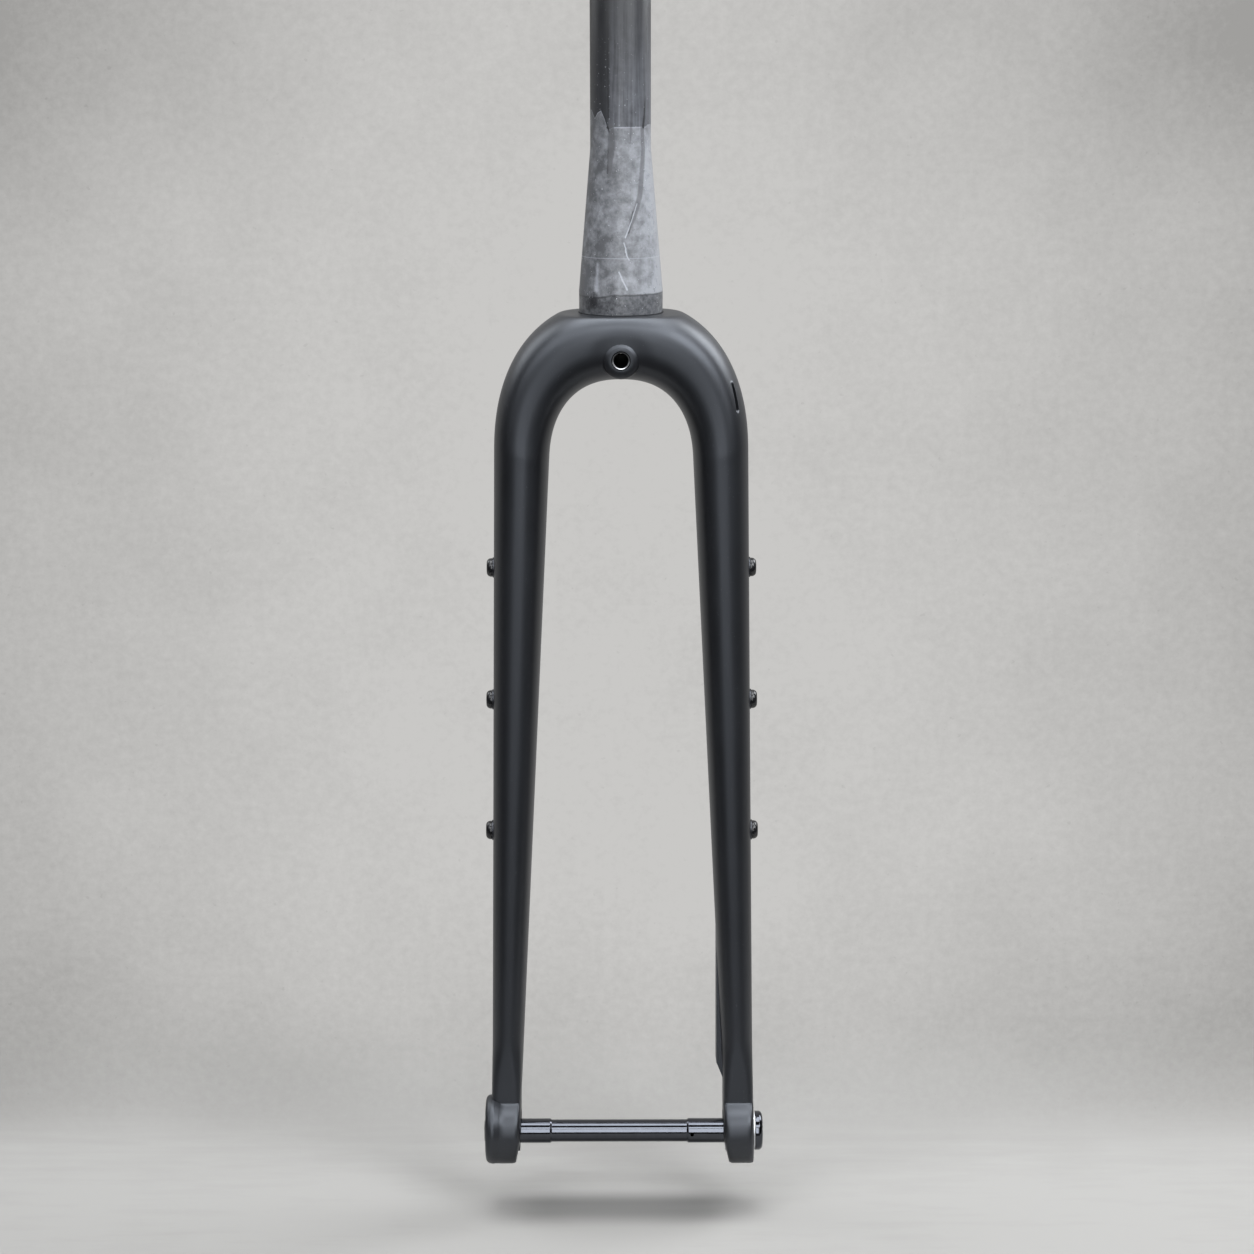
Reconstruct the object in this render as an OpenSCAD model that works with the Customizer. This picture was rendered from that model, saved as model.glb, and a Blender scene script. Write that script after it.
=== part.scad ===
// Rigid carbon bicycle fork for a disc brake and a through axle.
// The steerer axis is Z and the crown race seat is at Z = 0. The fork faces -Y and its disc side is +X.

/* [Steerer] */
// Outer diameter of the straight part of the steerer
steerer_d = 28.6; // [25.4:0.1:31.8]
// Height of the cut steerer above the crown race seat
steerer_h = 220; // [150:1:350]
// Wall of the straight part of the steerer
steerer_wall = 3.3; // [2.5:0.1:4.5]
// Wall of the steerer at the crown race seat
seat_wall = 4.2; // [3:0.1:6]
// Diameter of the crown race seat
seat_d = 39.8; // [36:0.1:41]
// Height of the cylindrical crown race seat
seat_h = 11; // [6:0.5:16]
// Height at which the taper meets the straight tube
taper_top = 77; // [50:1:120]
// Depth to which the steerer's foot is bonded into the crown
steerer_root = 12; // [8:0.5:14]
// Step from the crown race seat in to the bonded foot
root_step = 0.4; // [0.2:0.1:1]
// Thickness of the closed end of the steerer
steerer_floor = 2; // [1.5:0.5:4]

/* [Layout] */
// Drop from the crown race seat to the axle, along the steerer
axle_to_crown = 395; // [370:1:430]
// Distance of the axle in front of the steerer axis
rake = 47; // [40:0.5:55]
// Distance of the crown's mid-depth in front of the steerer axis
crown_forward = 2; // [0:0.5:5]
// Distance of the legs' mid-depth in front of the steerer axis, level with the axle
leg_rake = 40; // [36:0.5:44]
// How late the legs bend forwards, 1 being straight
rake_curve = 1.15; // [1:0.05:1.8]
// Clear width between the hub faces
hub_gap = 100; // [98:1:110]

/* [Crown] */
// Half of the outer width where the crown turns into the legs
crown_half_w = 60.7; // [56:0.1:66]
// Drop from the seat to where the crown's outline turns into the legs
crown_side_drop = 65; // [55:1:80]
// Height that the crown's outline would reach above the seat if it weren't cut flat
crown_rise = 6; // [4:0.5:12]
// Squareness of the crown's outline, 2 being an ellipse
crown_squareness = 2.3; // [2:0.05:3]
// Front-to-back depth of the crown under the steerer
crown_depth = 54; // [48:0.5:62]
// Half of the width between the legs where the arch ends
arch_half_w = 34.5; // [28:0.5:40]
// Drop from the seat to the top of the arch
arch_drop = 31.2; // [26:0.2:40]
// Drop from the seat to the sides of the arch
arch_side_drop = 70; // [60:1:90]
// Squareness of the arch, 2 being an ellipse
arch_squareness = 2.4; // [2:0.1:3]

/* [Legs] */
// Half of the outer width at the axle
dropout_half_w = 63.8; // [62:0.1:68]
// Front-to-back depth of a leg below the crown
leg_depth_top = 50; // [42:0.5:58]
// Front-to-back depth of a leg above the dropout
leg_depth_low = 27; // [24:0.5:32]
// Height above the axle at which a leg begins to swell into the dropout
leg_low_rise = 45; // [35:1:60]
// Squareness of the legs' section, 2 being an ellipse
leg_squareness = 2.7; // [2.2:0.1:3.5]

/* [Dropouts] */
// Radius of a dropout around the axle
dropout_r = 15.8; // [14:0.1:20]
// Squareness of the dropouts' section
dropout_squareness = 7; // [5:0.5:9]
// Lip of the drive side dropout inside the hub face
drive_lip = 0.5; // [0.4:0.1:2]
// Lip of the disc side dropout inside the hub face
disc_lip = 1; // [0.4:0.1:2]
// Radius of the recess that locates the hub
hub_recess_r = 10.5; // [10:0.1:12]
// Extra thickness of the threaded boss on the drive side
boss_t = 2.8; // [1:0.1:5]
// Radius of the threaded boss
boss_r = 16.8; // [16:0.1:18]
// Height of the boss's centre above the axle
boss_up = 1; // [0:0.1:2]
// Rounding of the dropouts' lower corners
dropout_corner = 2.4; // [0.5:0.1:3]
// Spread of the hub faces at the bottom of the dropouts, to lead the hub in
lead_in = 2.2; // [0.5:0.1:2.5]

/* [Axle] */
// Diameter of the axle's shank
axle_d = 11.9; // [11.5:0.1:12.2]
// Diameter of the axle's waist
waist_d = 10.8; // [9:0.1:11]
// Distance of the waist's drive side end from the middle of the fork
waist_drive_x = 35.3; // [25:0.1:40]
// Distance of the waist's disc side end from the middle of the fork
waist_disc_x = 32.1; // [25:0.1:40]
// Length of each step between shank and waist
waist_step = 0.8; // [0.4:0.1:2]
// Diameter of the hollow in the axle
axle_bore_d = 6.4; // [4:0.1:7]
// Diameter of the axle's head
axle_head_d = 19; // [17:0.5:22]
// Thickness of the axle's head
axle_head_t = 3.6; // [3:0.1:6]
// Width across flats of the hexagon socket in the head
axle_hex = 6; // [5:1:8]
// Distance that the axle's end stands out of the drive side dropout
axle_end_out = 0.7; // [0:0.1:3]
// Diameter of the small cross hole at the end of the waist
cross_hole_d = 1.8; // [1:0.1:2.5]
// Thickness of the washer under the axle's head
washer_t = 0.9; // [0.6:0.1:2]
// Radial clearance of the axle in the bush, the insert and the washer
axle_gap = 0.05; // [0.02:0.01:0.1]

/* [Dropout inserts] */
// Outer diameter of the bush and of the threaded insert
bush_d = 16; // [15:0.5:18]
// Diameter of their hub flanges
bush_flange_d = 19.6; // [18.5:0.1:20]
// Thickness of their hub flanges
bush_flange_t = 1.2; // [0.8:0.1:2]
// Depth of the spot face under the axle's washer
washer_recess = 0.2; // [0.1:0.1:0.5]

/* [Cage mounts] */
// Distance between neighbouring cage bolts
cage_pitch = 64; // [60:1:70]
// Drop from the seat to the first cage bolt
cage_drop = 121.6; // [110:0.2:135]
// Number of cage bolts on each leg
cage_count = 3; // [2:1:3]
// Nominal diameter of the cage bolts
bolt_d = 5; // [4:0.5:6]
// Diameter of a bolt's round head
bolt_head_d = 9; // [8:0.1:9.4]
// Height of a bolt's round head
bolt_head_h = 2.9; // [2:0.1:3.5]
// Width across flats of the bolt's hexagon socket
bolt_hex = 3; // [2.5:0.5:3]
// Length of a bolt's shank
bolt_l = 10; // [8:0.5:11]
// Outer diameter of a threaded insert
insert_d = 7.6; // [7.2:0.1:8]
// Length of a threaded insert under its flange
insert_l = 11.5; // [11:0.5:13]
// Diameter of a threaded insert's flange
insert_flange_d = 9.8; // [9.5:0.1:11]
// Thickness of a threaded insert's flange
insert_flange_t = 0.9; // [0.6:0.1:1.5]
// Depth of the flange in the leg
insert_flange_sunk = 0.3; // [0.1:0.1:0.5]
// Radial clearance of a bolt in its insert
bolt_gap = 0.05; // [0.02:0.01:0.1]

/* [Brake mount] */
// Distance between the two brake mount threads
brake_pitch = 70; // [60:1:80]
// Height of the lower brake mount thread above the axle
brake_rise = 36; // [32:0.5:45]
// Distance of the pad's inner edge from the middle of the fork
pad_inner_x = 45.9; // [44:0.1:47]
// Width of the pad
pad_w = 16; // [15:0.5:18]
// Distance that the pad stands behind the leg
pad_proud = 2.6; // [1.5:0.1:4]
// Length of the pad beyond each thread
pad_margin = 14; // [10:0.5:16]
// Length of the threaded inserts in the pad
brake_insert_l = 12; // [9:0.5:14]

/* [Crown hole] */
// Drop from the seat to the hole through the crown
crown_hole_drop = 19.8; // [18:0.2:21]
// Bore of the metal sleeve in the crown hole
sleeve_bore_d = 7.1; // [6:0.1:8]
// Wall of the sleeve
sleeve_wall = 1; // [0.6:0.1:1.2]
// Diameter of the round boss where it leaves the crown
crown_boss_d = 17; // [15:0.5:18]
// Diameter of the boss's flat face
crown_boss_face_d = 11.4; // [10:0.2:12]
// Distance that the boss stands in front of the crown
crown_boss_t = 1.2; // [0.5:0.1:2]

/* [Hose channel] */
// Diameter of the channel for the brake hose
hose_d = 6; // [5:0.1:6.4]
// Drop from the seat to the middle of the entry port
hose_entry_drop = 40.6; // [38:0.2:44]
// Distance of the entry port in front of the leg's mid-depth
hose_entry_forward = 18; // [16:0.5:20]
// Drop from the seat to the exit port on the back of the leg
hose_exit_drop = 219; // [212:1:224]
// Distance of the channel behind the cage inserts' axes
hose_back = 8; // [7.6:0.1:9]

/* [Smoothness] */
// Points around each section of the moulded body
ring_points = 28; // [20:4:40]
// Sections along each half of the crown
crown_sections = 14; // [10:1:24]
// Sections along each leg
leg_sections = 14; // [8:1:24]

/* [Hidden] */
SIDES = [["disc", 1], ["drive", -1]];
$fn = 64;
eps = 0.01;
reach = 60;

axle_z = -axle_to_crown;
hub_x = hub_gap / 2;
low_z = axle_z + leg_low_rise;
swell_z = axle_z + dropout_r + 3;
crown_h = crown_side_drop + crown_rise;
arch_h = arch_side_drop - arch_drop;
out_slope = (dropout_half_w - crown_half_w) / (axle_to_crown - crown_side_drop);
in_slope = (hub_x - drive_lip - arch_half_w) / (axle_to_crown - dropout_r - arch_side_drop);
end_angles = [18, 36, 52, 66, 76, 82];

function mix(a, b, t) = a + (b - a) * t;
function ease(t) = t <= 0 ? 0 : t >= 1 ? 1 : t * t * (3 - 2 * t);
function spow(v, e) = sign(v) * pow(abs(v), e);

// Mid-depth line of the crown and legs, which bends forwards on its way down
function mid_y(z) = -crown_forward
    - (leg_rake - crown_forward) * pow(min(max(-z, 0), axle_to_crown) / axle_to_crown, rake_curve);

// Half of the front-to-back depth of a leg at a height
function half_depth(z) =
    mix(leg_depth_top, leg_depth_low, pow(min(1, max(0, -crown_side_drop - z) / (-crown_side_drop - low_z)), 0.9)) / 2;

// Front and back of a leg at a height. The dropout is round and its front stands out of the leg.
function round_y(z) = sqrt(max(0, pow(dropout_r, 2) - pow(z - axle_z, 2)));
function leg_front(z) = z > axle_z + dropout_r ? mid_y(z) - half_depth(z)
    : z > axle_z ? min(mid_y(z) - half_depth(z), -rake - round_y(z)) : -rake - round_y(z);
function leg_back(z) = z > axle_z ? mix(mid_y(z) + half_depth(z), dropout_r - rake, ease((low_z - z) / leg_low_rise))
    : round_y(z) - rake;

function crown_half_depth(a) = leg_depth_top / 2 + (crown_depth - leg_depth_top) / 2 * pow(sin(a), 2);
function squareness(z) = mix(leg_squareness, dropout_squareness, ease((low_z - z) / (leg_low_rise - dropout_r)));

// Distance that a lower corner of a dropout is rounded back
function corner(z) = let (up = z - (axle_z - dropout_r))
    up > dropout_corner ? 0 : dropout_corner - sqrt(pow(dropout_corner, 2) - pow(dropout_corner - up, 2));

function side_x(z) = crown_half_w + out_slope * (-crown_side_drop - z);
function out_x(z) = side_x(z) - corner(z);
function lip(side) = side > 0 ? disc_lip : drive_lip;
function in_x(z, side) = min(hub_x - lip(side), arch_half_w + in_slope * (-arch_side_drop - z))
    + (z < axle_z ? (lip(side) + lead_in) * (axle_z - z) / dropout_r : 0) + corner(z);

// A section is [outer point, inner point, middle in Y, half depth, squareness], the points being [x, z]
function crown_section(side, a) =
    let (oz = -crown_side_drop + crown_h * spow(sin(a), 2 / crown_squareness))
    let (iz = -arch_side_drop + arch_h * spow(sin(a), 2 / arch_squareness))
    [[side * side_x(oz) * spow(cos(a), 2 / crown_squareness), oz],
     [side * in_x(iz, side) * spow(cos(a), 2 / arch_squareness), iz],
     mid_y((oz + iz) / 2), crown_half_depth(a), leg_squareness];

function leg_section(side, oz, iz) = let (z = (oz + iz) / 2)
    [[side * out_x(oz), oz], [side * in_x(iz, side), iz],
     (leg_back(z) + leg_front(z)) / 2, (leg_back(z) - leg_front(z)) / 2, squareness(oz)];

function half_sections(side) = concat(
    [for (i = [1:crown_sections]) crown_section(side, 90 * (1 - i / crown_sections))],
    [for (i = [1:leg_sections]) let (t = i / leg_sections)
        leg_section(side, mix(-crown_side_drop, swell_z, t), mix(-arch_side_drop, swell_z, t))],
    [for (t = [0.96, 0.86, 0.72, 0.52, 0.28, 0]) let (z = axle_z + dropout_r * t) leg_section(side, z, z)],
    [for (a = end_angles) let (z = axle_z - dropout_r * sin(a)) leg_section(side, z, z)]);

function reversed(list) = [for (i = [len(list) - 1:-1:0]) list[i]];
sections = concat(reversed(half_sections(-1)), [crown_section(1, 90)], half_sections(1));

function ring(s) = [for (k = [0:ring_points - 1])
    let (turn = 360 * k / ring_points)
    let (u = spow(cos(turn), 2 / s[4]) / 2)
    let (v = spow(sin(turn), 2 / s[4]))
    [mix(s[1][0], s[0][0], 0.5 + u), s[2] + s[3] * v, mix(s[1][1], s[0][1], 0.5 + u)]];

module loft(rings) {
    n = len(rings[0]);
    last = len(rings) - 1;
    sides = [for (i = [0:last - 1], k = [0:n - 1])
        let (j = (k + 1) % n)
        each [[i * n + k, i * n + j, (i + 1) * n + j], [i * n + k, (i + 1) * n + j, (i + 1) * n + k]]];
    start = [for (k = [n - 1:-1:0]) k];
    end = [for (k = [0:n - 1]) last * n + k];
    polyhedron([for (r = rings) each r], concat(sides, [start, end]), convexity = 6);
}

// Legs and crown as one moulded sweep, with the crown cut flat at the seat
module crown_and_legs() {
    difference() {
        loft([for (s = sections) ring(s)]);
        translate([-reach, -reach, 0]) cube(2 * reach);
    }
}

steerer_r = steerer_d / 2;
seat_r = seat_d / 2;
root_r = seat_r - root_step;
steerer_chamfer = 0.6;

// Tapered tube, closed at its foot
module steerer_tube() {
    bore_r = steerer_r - steerer_wall;
    seat_bore_r = seat_r - seat_wall;
    floor_z = steerer_floor - steerer_root;
    color("#6e7074") rotate_extrude(convexity = 4) polygon([[0, -steerer_root], [root_r, -steerer_root],
        [root_r, 0], [seat_r, 0], [seat_r, seat_h], [steerer_r, taper_top], [steerer_r, steerer_h - steerer_chamfer],
        [steerer_r - steerer_chamfer, steerer_h], [bore_r, steerer_h], [bore_r, taper_top],
        [seat_bore_r, seat_h], [seat_bore_r, floor_z / 2], [seat_bore_r + floor_z / 2, floor_z], [0, floor_z]]);
}

// Turns a shape whose axis is Z so that it points to the front, with its base at a distance from the axis
module to_front(y, z) {
    translate([0, y, z]) rotate([90, 0, 0]) children();
}

// Turns a shape whose axis is Z so that it points away from the middle plane on one side
module to_side(side, x, y, z) {
    translate([side * x, y, z]) rotate([0, side * 90, 0]) children();
}

// Depth of the crown's front face at a height on its middle line
crown_mid_z = (crown_rise - arch_drop) / 2;
crown_mid_h = (crown_rise + arch_drop) / 2;
function crown_face(z) = crown_depth / 2
    * pow(1 - pow(abs(z - crown_mid_z) / crown_mid_h, leg_squareness), 1 / leg_squareness);
hole_z = -crown_hole_drop;
front_y = mid_y(crown_mid_z) - crown_face(hole_z) - crown_boss_t;
back_y = mid_y(crown_mid_z) + crown_face(hole_z);
crown_boss_r = crown_boss_d / 2;
boss_face_r = crown_boss_face_d / 2;
sleeve_r = sleeve_bore_d / 2 + sleeve_wall;
boss_root = 17;
boss_root_r = 6;

module crown_boss() {
    to_front(front_y + boss_root, hole_z) rotate_extrude(convexity = 3) polygon([[0, 0], [boss_root_r, 0],
        [crown_boss_r, boss_root - 3.2], [crown_boss_r - 0.5, boss_root - 2],
        [boss_face_r + 0.8, boss_root - 0.3], [boss_face_r, boss_root], [0, boss_root]]);
}

sleeve_back_y = back_y - 0.6;
module crown_hole_sleeve() {
    sleeve_lip = 0.6;
    length = sleeve_back_y - front_y;
    color("silver") to_front(sleeve_back_y, hole_z) rotate_extrude(convexity = 3) polygon([
        [sleeve_bore_d / 2, 0], [sleeve_r, 0], [sleeve_r, length],
        [sleeve_bore_d / 2 + sleeve_lip, length], [sleeve_bore_d / 2, length - sleeve_lip]]);
}

module crown_hole() {
    to_front(sleeve_back_y, hole_z) cylinder(r = sleeve_r, h = reach);
    to_front(sleeve_back_y + reach / 2, hole_z) cylinder(r = sleeve_bore_d / 2, h = reach);
}

// The pad runs parallel to the straight line through the leg's back at its two threads
function pad_back(z) = leg_back(z) + pad_proud;
brake_low_z = axle_z + brake_rise;
brake_high_z = brake_low_z + brake_pitch * 0.99;
pad_dir = [pad_back(brake_high_z) - pad_back(brake_low_z), brake_high_z - brake_low_z];
pad_tilt = atan2(pad_dir[0], pad_dir[1]);
pad_mid_x = pad_inner_x + pad_w / 2;
pad_cut = hub_x - disc_lip - pad_inner_x;
pad_depth = 16;
pad_ramp = 5;

// Moves to the lower thread's mouth, with Z along the pad and Y out of it
module at_pad() {
    translate([pad_mid_x, pad_back(brake_low_z), brake_low_z]) rotate([-pad_tilt, 0, 0]) children();
}

module pad_outline(inset, low, high) {
    half = pad_w / 2 - inset;
    polygon([[-half, low + 2.4 * pad_cut], [-half + pad_cut, low], [half - 2, low], [half, low + 2],
        [half, high - 8], [half * 0.85, high - 3.6], [half * 0.45, high], [-half * 0.45, high],
        [-half * 0.85, high - 3.6], [-half, high - 8]]);
}

// The pad's face is smaller than its root, and its upper end slopes down into the leg
module brake_pad() {
    high = brake_pitch + pad_margin;
    at_pad() rotate([90, 0, 0]) hull() {
        linear_extrude(height = 0.6) pad_outline(1.4, pad_proud - pad_margin, high - pad_ramp);
        translate([0, 0, pad_proud]) linear_extrude(height = pad_depth) pad_outline(0, -pad_margin, high + pad_ramp);
    }
}

module at_brake_insert(index) {
    at_pad() translate([0, 0, index * brake_pitch]) rotate([-90, 0, 0]) children();
}

brake_insert_r = insert_d / 2;
thread_r = bolt_d / 2 - 0.4;
insert_floor = 1.5;

module brake_insert(index) {
    color("dimgray") at_brake_insert(index) difference() {
        translate([0, 0, -brake_insert_l]) cylinder(r = brake_insert_r, h = brake_insert_l);
        translate([0, 0, insert_floor - brake_insert_l]) cylinder(r = thread_r, h = brake_insert_l);
    }
}

// The cage bolts stand on a straight line that follows the leg
cage_top_y = mid_y(-cage_drop);
cage_low_z = -cage_drop - cage_pitch * (cage_count - 1);
cage_tilt = atan2(cage_top_y - mid_y(cage_low_z), -cage_drop - cage_low_z);
function cage_z(i) = -cage_drop - i * cage_pitch * cos(cage_tilt);
function cage_y(i) = cage_top_y - i * cage_pitch * sin(cage_tilt);
bolt_r = bolt_d / 2;
insert_r = insert_d / 2;
insert_flange_r = insert_flange_d / 2;

// Moves to the face of the leg at a cage bolt, with Z pointing away from the leg
module at_cage(side, i) {
    to_side(side, side_x(cage_z(i)) - insert_flange_sunk, cage_y(i), cage_z(i)) children();
}

module cage_insert(side, i) {
    color("dimgray") at_cage(side, i) difference() {
        union() {
            translate([0, 0, -insert_l]) cylinder(r = insert_r, h = insert_l + eps);
            cylinder(r = insert_flange_r, h = insert_flange_t);
        }
        translate([0, 0, insert_floor - insert_l]) cylinder(r = bolt_r, h = insert_l + 2);
    }
}

module cage_pocket(side, i) {
    at_cage(side, i) {
        translate([0, 0, -insert_l]) cylinder(r = insert_r, h = insert_l);
        cylinder(r = insert_flange_r, h = insert_flange_t + 1);
    }
}

module hexagon(flats, h) {
    cylinder(d = flats / cos(30), h = h, $fn = 6);
}

// Round head with a domed top, a flat crest and a hexagon socket
module cage_bolt(side, i) {
    head_r = bolt_head_d / 2;
    crest_r = bolt_head_d * 0.28;
    rim_h = 0.7;
    dome = [for (t = [0:6]) let (a = 90 * t / 6)
        [crest_r + (head_r - crest_r) * cos(a), rim_h + (bolt_head_h - rim_h) * sin(a)]];
    color("#1c1d20") at_cage(side, i) difference() {
        rotate_extrude(convexity = 3) polygon(concat(
            [[0, insert_flange_t - bolt_l], [bolt_r - bolt_gap - 0.6, insert_flange_t - bolt_l],
             [bolt_r - bolt_gap, insert_flange_t - bolt_l + 0.6], [bolt_r - bolt_gap, insert_flange_t],
             [head_r, insert_flange_t]],
            [for (p = dome) [p[0], insert_flange_t + p[1]]],
            [[0, insert_flange_t + bolt_head_h]]));
        translate([0, 0, insert_flange_t + bolt_head_h - 1.8]) hexagon(bolt_hex, 3);
    }
}

// Dropout parts are drawn along +X with the axle at the origin
module at_axle() {
    translate([0, -rake, axle_z]) children();
}

axle_r = axle_d / 2;
axle_hole_r = axle_r + axle_gap;
bush_r = bush_d / 2;
bush_flange_r = bush_flange_d / 2;
disc_face_x = dropout_half_w - washer_recess;
drive_face_x = dropout_half_w + boss_t;
head_x = disc_face_x + washer_t;
washer_r = axle_head_d / 2 - 0.1;
washer_seat_r = axle_head_d / 2 + 0.7;

module dropout_sleeve(side, end_x) {
    at_axle() to_side(side, hub_x, 0, 0) difference() {
        union() {
            cylinder(r = bush_r, h = end_x - hub_x);
            cylinder(r = bush_flange_r, h = bush_flange_t);
        }
        translate([0, 0, -1]) cylinder(r = axle_hole_r, h = end_x - hub_x + 2);
    }
}

module dropout_pocket(side) {
    at_axle() {
        to_side(side, hub_x - 1, 0, 0) {
            cylinder(r = bush_r, h = reach);
            cylinder(r = bush_flange_r, h = 1 + bush_flange_t);
        }
        to_side(side, hub_x - 5, 0, 0) cylinder(r = hub_recess_r, h = 5);
        translate([side * (hub_x - 2.5), 0, -reach / 2]) cube([5, 2 * hub_recess_r, reach], center = true);
    }
}

// Round boss that the axle is screwed into, with a bulged rim
module drive_boss() {
    depth = 5.8;
    at_axle() to_side(-1, dropout_half_w - depth, 0, boss_up) rotate_extrude(convexity = 2) polygon([
        [0, 0], [boss_r - 2, 0], [boss_r - 0.8, depth * 0.4], [boss_r, depth * 0.75], [boss_r, depth],
        [boss_r - 0.5, depth + boss_t * 0.55], [boss_r - 1.5, depth + boss_t * 0.88],
        [boss_r - 2.9, depth + boss_t], [0, depth + boss_t]]);
}

module disc_side_axle_bush() {
    color("silver") dropout_sleeve(1, disc_face_x);
}

module drive_side_axle_insert() {
    color("dimgray") dropout_sleeve(-1, drive_face_x - 0.4);
}

module axle_washer() {
    color("gainsboro") at_axle() to_side(1, disc_face_x, 0, 0) difference() {
        cylinder(r = washer_r, h = washer_t);
        translate([0, 0, -1]) cylinder(r = axle_hole_r, h = washer_t + 2);
    }
}

module thru_axle() {
    head_r = axle_head_d / 2;
    waist_r = waist_d / 2;
    tip_x = -drive_face_x - axle_end_out;
    outer = [[0, tip_x], [axle_r - 0.8, tip_x], [axle_r, tip_x + 0.8],
        [axle_r, -waist_drive_x], [waist_r, waist_step - waist_drive_x],
        [waist_r, waist_disc_x - waist_step], [axle_r, waist_disc_x], [axle_r, head_x],
        [head_r, head_x], [head_r, head_x + axle_head_t * 0.55], [head_r - 0.5, head_x + axle_head_t * 0.8],
        [head_r - 1.4, head_x + axle_head_t], [0, head_x + axle_head_t]];
    color("#17181b") at_axle() to_side(1, 0, 0, 0) difference() {
        rotate_extrude(convexity = 4) polygon(outer);
        translate([0, 0, tip_x - 1]) cylinder(d = axle_bore_d, h = head_x - tip_x - 6);
        translate([0, 0, head_x + axle_head_t - 6.5]) hexagon(axle_hex, 8);
        translate([0, 0, waist_disc_x + cross_hole_d]) rotate([90, 0, 0]) cylinder(d = cross_hole_d, h = axle_d);
    }
}

// Straight bores from point to point, with round elbows a little wider than the bores
elbow_room = 0.8;
module bore_path(points, d) {
    for (i = [1:len(points) - 1]) {
        step = points[i] - points[i - 1];
        translate(points[i - 1]) rotate([0, acos(step[2] / norm(step)), atan2(step[1], step[0])])
            cylinder(d = d, h = norm(step));
    }
    for (i = [1:len(points) - 2]) translate(points[i]) sphere(d = d + elbow_room);
}

hose_top_z = -86;
hose_low_z = cage_z(1) - 8;
hose_top_x = mix(arch_half_w, crown_half_w, 0.55);
hose_low_x = mix(in_x(hose_low_z, 1), side_x(hose_low_z), 0.42);
hose_entry = [side_x(-hose_entry_drop) - 4.6, mid_y(-hose_entry_drop) - hose_entry_forward, -hose_entry_drop];
hose_top = [hose_top_x, mid_y(hose_top_z) + hose_back, hose_top_z];
hose_low = [hose_low_x, mid_y(hose_low_z) + hose_back, hose_low_z];
hose_exit = [in_x(-hose_exit_drop, 1) + 0.5, leg_back(-hose_exit_drop) - 1,
    -hose_exit_drop];
function past(a, b, d) = b + (b - a) / norm(b - a) * d;

module hose_channel() {
    bore_path([past(hose_top, hose_entry, 16), hose_top, hose_low, past(hose_low, hose_exit, 14)], hose_d);
}

module fork_body() {
    color("#2a2d31") difference() {
        union() {
            crown_and_legs();
            crown_boss();
            drive_boss();
            brake_pad();
        }
        translate([0, 0, -steerer_root]) cylinder(r = root_r, h = reach);
        crown_hole();
        hose_channel();
        for (s = SIDES) {
            for (i = [0:cage_count - 1]) cage_pocket(s[1], i);
            dropout_pocket(s[1]);
        }
        at_axle() to_side(1, disc_face_x, 0, 0) cylinder(r = washer_seat_r, h = 5);
        for (i = [0:1]) at_brake_insert(i) translate([0, 0, -brake_insert_l])
            cylinder(r = brake_insert_r, h = brake_insert_l + 5);
    }
}

HEIGHTS = ["upper", "middle", "lower"];
fork_body();
steerer_tube();
crown_hole_sleeve();
thru_axle();
axle_washer();
disc_side_axle_bush();
drive_side_axle_insert();
for (s = SIDES, i = [0:cage_count - 1]) {
    cage_bolt(s[1], i);
    cage_insert(s[1], i);
}
brake_insert(1);  // brake_insert_upper
brake_insert(0);  // brake_insert_lower
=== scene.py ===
import math

import bmesh
import bpy
from mathutils import Matrix, Vector


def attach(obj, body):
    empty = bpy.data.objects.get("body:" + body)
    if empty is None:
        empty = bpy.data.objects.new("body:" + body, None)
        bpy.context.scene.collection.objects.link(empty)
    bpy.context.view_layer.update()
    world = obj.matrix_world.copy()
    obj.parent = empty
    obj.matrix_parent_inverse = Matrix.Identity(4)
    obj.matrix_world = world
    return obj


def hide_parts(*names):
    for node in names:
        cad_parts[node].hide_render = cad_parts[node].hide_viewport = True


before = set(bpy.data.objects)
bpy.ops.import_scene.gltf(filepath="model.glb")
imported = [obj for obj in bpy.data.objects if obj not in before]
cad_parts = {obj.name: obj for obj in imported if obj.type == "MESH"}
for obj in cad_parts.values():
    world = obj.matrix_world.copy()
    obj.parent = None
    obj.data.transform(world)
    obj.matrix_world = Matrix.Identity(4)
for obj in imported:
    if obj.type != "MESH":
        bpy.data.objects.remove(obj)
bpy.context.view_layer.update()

scene = bpy.context.scene
mm = 0.001
fullTurn = 2 * math.pi
print("frame loaded,", len(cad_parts), "parts")


# ---- node helpers

class Wire:
    # One socket of a node tree. Sums on wires add Math nodes.
    def __init__(self, book, socket):
        self.book, self.socket = book, socket

    def __getitem__(self, name):  # another output of the same node
        return Wire(self.book, self.socket.node.outputs[name])

    def __add__(self, other):
        return self.book.maths("ADD", self, other)

    def __radd__(self, other):
        return self.book.maths("ADD", other, self)

    def __sub__(self, other):
        return self.book.maths("SUBTRACT", self, other)

    def __rsub__(self, other):
        return self.book.maths("SUBTRACT", other, self)

    def __mul__(self, other):
        return self.book.maths("MULTIPLY", self, other)

    def __rmul__(self, other):
        return self.book.maths("MULTIPLY", other, self)

    def __truediv__(self, other):
        return self.book.maths("DIVIDE", self, other)

    def __rtruediv__(self, other):
        return self.book.maths("DIVIDE", other, self)

    def __pow__(self, other):
        return self.book.maths("POWER", self, other)

    def __neg__(self):
        return self.book.maths("MULTIPLY", self, -1)

    def __gt__(self, other):
        return self.book.maths("GREATER_THAN", self, other)

    def __lt__(self, other):
        return self.book.maths("LESS_THAN", self, other)

    def __abs__(self):
        return self.book.maths("ABSOLUTE", self)


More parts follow.
